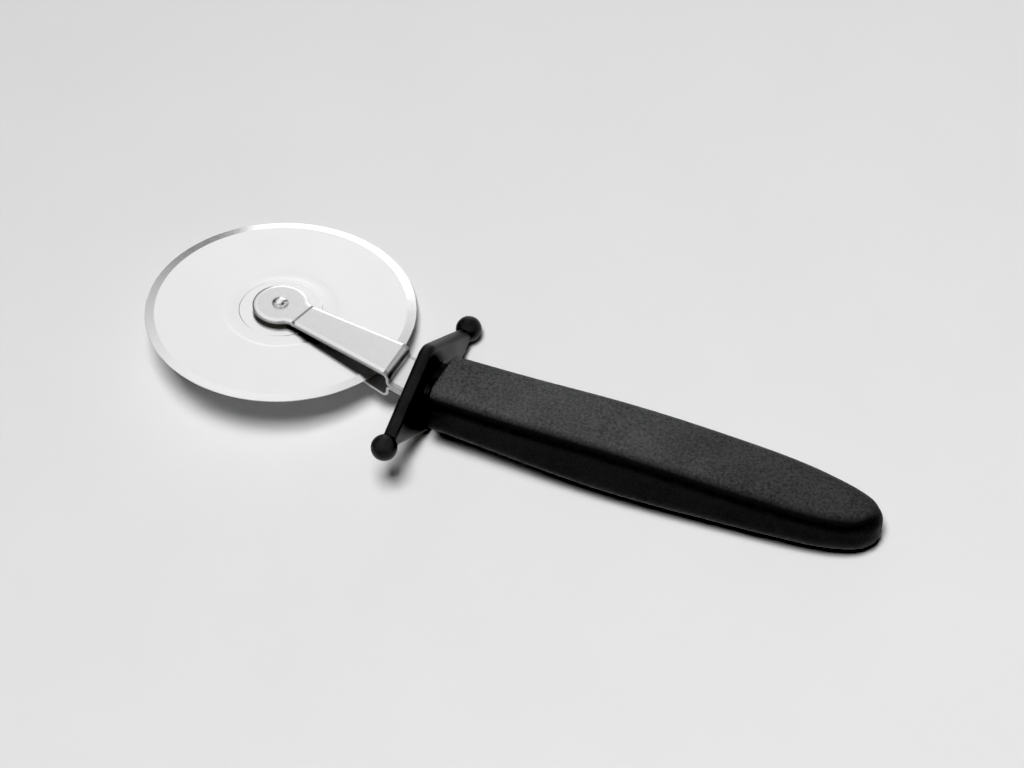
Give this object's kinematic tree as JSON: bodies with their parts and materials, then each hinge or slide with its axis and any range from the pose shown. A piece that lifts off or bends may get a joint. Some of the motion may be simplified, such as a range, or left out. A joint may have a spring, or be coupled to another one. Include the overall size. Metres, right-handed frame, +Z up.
{
  "type": "pastry cutter wheel",
  "caption": "Disc blade turning on a rivet between two pressed steel arms, with a ball-tipped crossguard and a tapered black grip; lies on its guard, butt and blade rim.",
  "frame": {"origin": "on the table, under the middle of the tool's bounding box as it lies at rest", "axes": "+X along the tool towards the butt, +Z up from the table, +Y to the side that the blade leans to"},
  "size_m": [0.2456, 0.0842, 0.0314],
  "materials": {
    "blade_steel": "fine satin faces, ground bevel round the rim",
    "arm_steel": "satin, with bright sheared edges",
    "rivet_steel": "polished",
    "bush_steel": "turned",
    "washer_nylon": "natural nylon",
    "guard_plastic": "smooth moulded black, semi-gloss",
    "core_plastic": "moulded black",
    "grip_rubber": "fine-grained matte charcoal black"
  },
  "bodies": {
    "frame": {"spacer_bush": "bush_steel", "thrust_washer_upper": "washer_nylon", "thrust_washer_lower": "washer_nylon", "axle_rivet": "rivet_steel", "fork_arm_upper": "arm_steel", "fork_arm_lower": "arm_steel", "guard": "guard_plastic", "handle_core": "core_plastic", "tang_pins": "bush_steel", "handle_grip": "grip_rubber"},
    "wheel": {"blade": "blade_steel"}
  },
  "joints": [
    {"name": "blade_spin", "type": "hinge", "parent": "frame", "child": "wheel", "pos_m": [-0.08034, 0.00192, 0.01408], "axis": [0.0402, 0.3264, 0.9444], "continuous": true}
  ]
}
